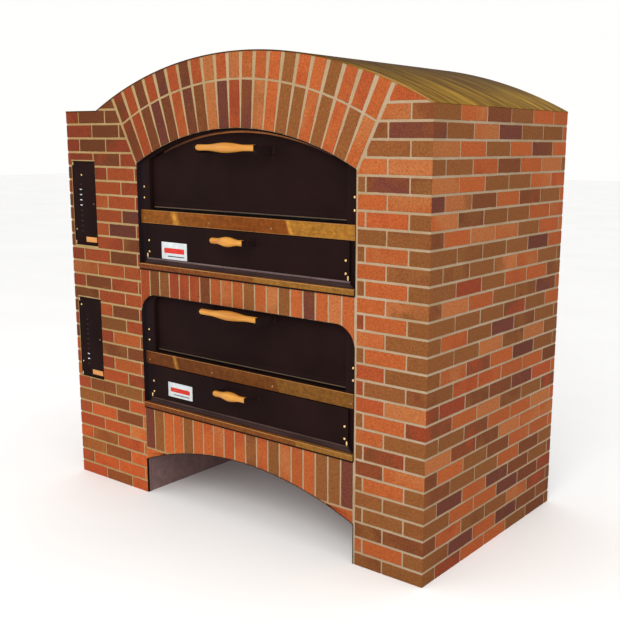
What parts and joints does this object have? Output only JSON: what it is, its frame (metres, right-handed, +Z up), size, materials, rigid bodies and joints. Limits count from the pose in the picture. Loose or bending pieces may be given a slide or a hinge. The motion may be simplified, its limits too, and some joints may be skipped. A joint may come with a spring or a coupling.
{
  "type": "deck oven",
  "caption": "Brick-clad double-deck gas pizza oven with an arched barrel roof, drop-down oven doors with turned wooden handles and a side control pillar.",
  "frame": {"origin": "on the floor, in the middle of the overall width and depth", "axes": "+X to the right as the baker faces the oven, +Y to the back, +Z up"},
  "size_m": [2.159, 1.294, 2.1148],
  "materials": {
    "brick": "matte, wire-cut face brick in orange, salmon, brown and plum with tan mortar",
    "inner_steel": "satin grey sheet",
    "roof_sheet": "streaky aged bronze sheet with a bright folded edge",
    "frame_steel": "black primer",
    "slate_panel": "dull slate-grey sheet",
    "mineral_wool": "matted fibres",
    "flue_steel": "aluminised sheet",
    "gas_pipe": "black steel pipe",
    "black_steel": "satin black enamel",
    "bronze_trim": "golden brown bronze",
    "grey_steel": "satin",
    "hearth_stone": "dry pressed cordierite",
    "burner_iron": "rough cast",
    "turned_wood": "honey varnish over turned wood",
    "control_body": "die cast",
    "black_plastic": "moulded phenolic",
    "red_plastic": "moulded",
    "brass": "polished screw heads"
  },
  "bodies": {
    "housing": {"brick_front": "brick", "brick_left": "brick", "brick_right": "brick", "front_plate": "inner_steel", "side_panels": "inner_steel", "rear_panel": "inner_steel", "roof_sheet": "roof_sheet", "frame": "frame_steel", "base_liner": "slate_panel", "insulation": "mineral_wool", "flue_duct": "flue_steel", "gas_header": "gas_pipe", "control_column": "black_steel", "trim_screws": "brass", "surround_lower": "black_steel", "trim_strip_lower": "bronze_trim", "sill_trim_lower": "bronze_trim", "hinge_rail_lower": "grey_steel", "chamber_lower": "flue_steel", "hearth_lower": "hearth_stone", "baffle_lower": "flue_steel", "burners_lower": "burner_iron", "manifold_lower": "gas_pipe", "thermostat_lower": "control_body", "gas_valve_lower": "control_body", "surround_upper": "black_steel", "trim_strip_upper": "bronze_trim", "sill_trim_upper": "bronze_trim", "hinge_rail_upper": "grey_steel", "chamber_upper": "flue_steel", "hearth_upper": "hearth_stone", "baffle_upper": "flue_steel", "burners_upper": "burner_iron", "manifold_upper": "gas_pipe", "thermostat_upper": "control_body", "gas_valve_upper": "control_body"},
    "oven_door_lower": {"door_lower": "black_steel", "door_liner_lower": "flue_steel", "door_grip_lower": "turned_wood", "door_hardware_lower": "grey_steel"},
    "access_flap_lower": {"access_panel_lower": "black_steel", "panel_grip_lower": "turned_wood", "panel_hardware_lower": "grey_steel"},
    "control_flap_lower": {"control_cover_lower": "black_steel"},
    "thermostat_dial_lower": {"dial_lower": "black_plastic"},
    "gas_knob_lower": {"valve_knob_lower": "black_plastic"},
    "igniter_button_lower": {"igniter_lower": "red_plastic"},
    "flue_damper_lower": {"damper_lower": "flue_steel"},
    "oven_door_upper": {"door_upper": "black_steel", "door_liner_upper": "flue_steel", "door_grip_upper": "turned_wood", "door_hardware_upper": "grey_steel"},
    "access_flap_upper": {"access_panel_upper": "black_steel", "panel_grip_upper": "turned_wood", "panel_hardware_upper": "grey_steel"},
    "control_flap_upper": {"control_cover_upper": "black_steel"},
    "thermostat_dial_upper": {"dial_upper": "black_plastic"},
    "gas_knob_upper": {"valve_knob_upper": "black_plastic"},
    "igniter_button_upper": {"igniter_upper": "red_plastic"},
    "flue_damper_upper": {"damper_upper": "flue_steel"}
  },
  "joints": [
    {"name": "oven_door_lower_hinge", "type": "hinge", "parent": "housing", "child": "oven_door_lower", "pos_m": [0.08775, -0.503, 0.749], "axis": [1, 0, 0], "range_deg": [0, 90]},
    {"name": "access_flap_lower_hinge", "type": "hinge", "parent": "housing", "child": "access_flap_lower", "pos_m": [0.08775, -0.54, 0.501], "axis": [1, 0, 0], "range_deg": [0, 90]},
    {"name": "control_flap_lower_hinge", "type": "hinge", "parent": "housing", "child": "control_flap_lower", "pos_m": [-1.0445, -0.5545, 0.7415], "axis": [0, 0, -1], "range_deg": [0, 110]},
    {"name": "thermostat_dial_lower_turn", "type": "hinge", "parent": "housing", "child": "thermostat_dial_lower", "pos_m": [-0.9625, -0.449, 0.8], "axis": [0, 1, 0], "range_deg": [0, 270]},
    {"name": "gas_knob_lower_turn", "type": "hinge", "parent": "housing", "child": "gas_knob_lower", "pos_m": [-0.9625, -0.449, 0.6], "axis": [0, 1, 0], "range_deg": [0, 180]},
    {"name": "igniter_button_lower_press", "type": "slide", "parent": "housing", "child": "igniter_button_lower", "axis": [0, 1, 0], "range_m": [0, 0.006], "stiffness_N_per_m": 800},
    {"name": "flue_damper_lower_turn", "type": "hinge", "parent": "housing", "child": "flue_damper_lower", "pos_m": [0.08775, 0.486, 0.892], "axis": [1, 0, 0], "range_deg": [0, 90]},
    {"name": "oven_door_upper_hinge", "type": "hinge", "parent": "housing", "child": "oven_door_upper", "pos_m": [0.08775, -0.503, 1.439], "axis": [1, 0, 0], "range_deg": [0, 90]},
    {"name": "access_flap_upper_hinge", "type": "hinge", "parent": "housing", "child": "access_flap_upper", "pos_m": [0.08775, -0.54, 1.191], "axis": [1, 0, 0], "range_deg": [0, 90]},
    {"name": "control_flap_upper_hinge", "type": "hinge", "parent": "housing", "child": "control_flap_upper", "pos_m": [-1.0445, -0.5545, 1.4315], "axis": [0, 0, -1], "range_deg": [0, 110]},
    {"name": "thermostat_dial_upper_turn", "type": "hinge", "parent": "housing", "child": "thermostat_dial_upper", "pos_m": [-0.9625, -0.449, 1.49], "axis": [0, 1, 0], "range_deg": [0, 270]},
    {"name": "gas_knob_upper_turn", "type": "hinge", "parent": "housing", "child": "gas_knob_upper", "pos_m": [-0.9625, -0.449, 1.29], "axis": [0, 1, 0], "range_deg": [0, 180]},
    {"name": "igniter_button_upper_press", "type": "slide", "parent": "housing", "child": "igniter_button_upper", "axis": [0, 1, 0], "range_m": [0, 0.006], "stiffness_N_per_m": 800},
    {"name": "flue_damper_upper_turn", "type": "hinge", "parent": "housing", "child": "flue_damper_upper", "pos_m": [0.08775, 0.486, 1.582], "axis": [1, 0, 0], "range_deg": [0, 90]}
  ]
}
